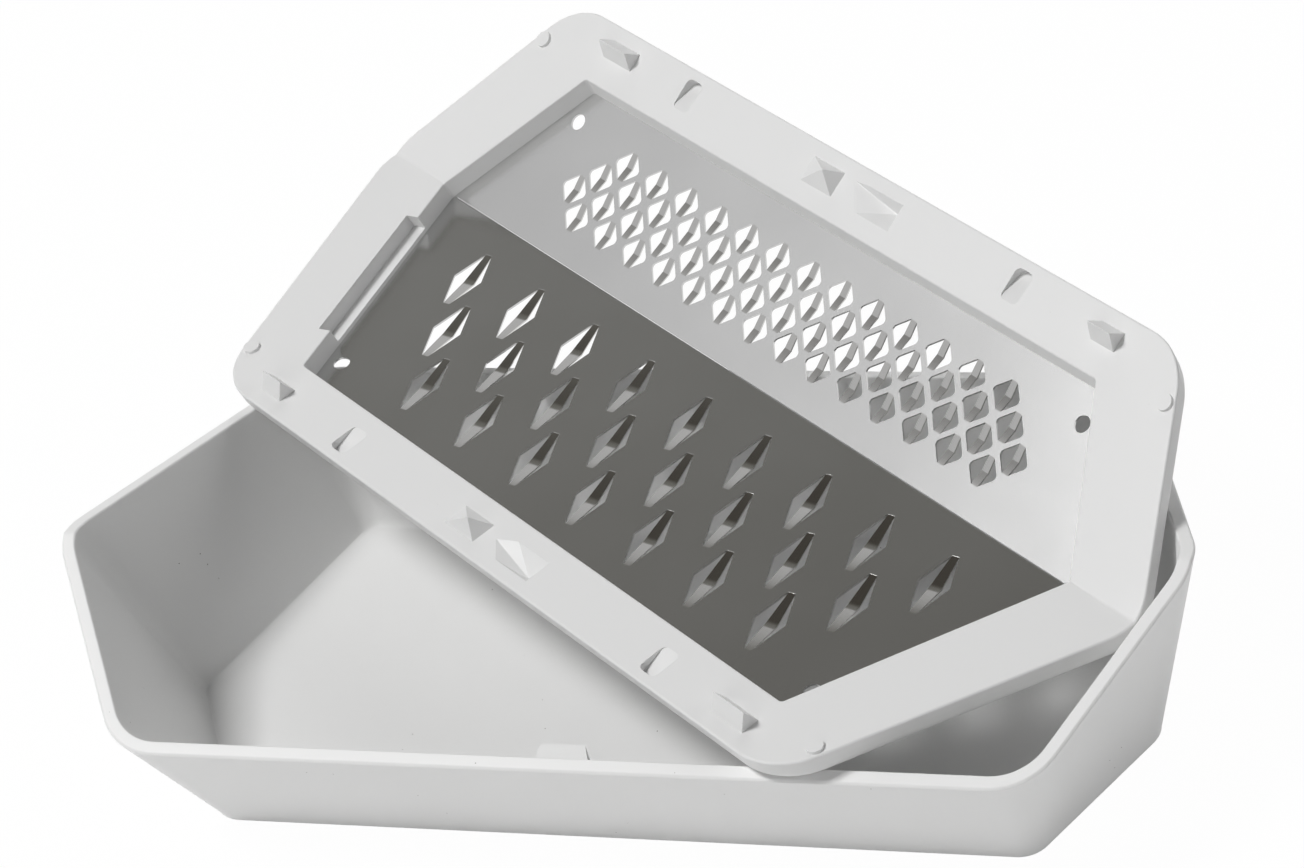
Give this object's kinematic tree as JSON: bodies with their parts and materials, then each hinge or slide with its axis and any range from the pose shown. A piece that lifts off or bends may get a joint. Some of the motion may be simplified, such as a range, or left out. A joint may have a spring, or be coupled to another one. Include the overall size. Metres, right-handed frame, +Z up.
{
  "type": "grater",
  "caption": "Two-sided kitchen grater: a folded steel sheet with coarse and fine punched teeth in a six-sided plastic frame, lying askew on its matching catch tray.",
  "frame": {"origin": "on the tray's base plane, under the middle of the line that joins the rim's two peaks", "axes": "+X along the tray's length, +Y from the narrow side to the wide side, +Z up"},
  "size_m": [0.2466, 0.201, 0.0749],
  "materials": {
    "tray_plastic": "satin",
    "frame_plastic": "satin",
    "sheet_steel": "satin"
  },
  "bodies": {
    "tray": {"catch_tray": "tray_plastic"},
    "grater": {"grater_frame": "frame_plastic", "grating_sheet": "sheet_steel"}
  },
  "joints": [
    {"name": "lift_off", "type": "slide", "parent": "tray", "child": "grater", "axis": [0, 0, 1], "range_m": [0, 0.12]}
  ]
}
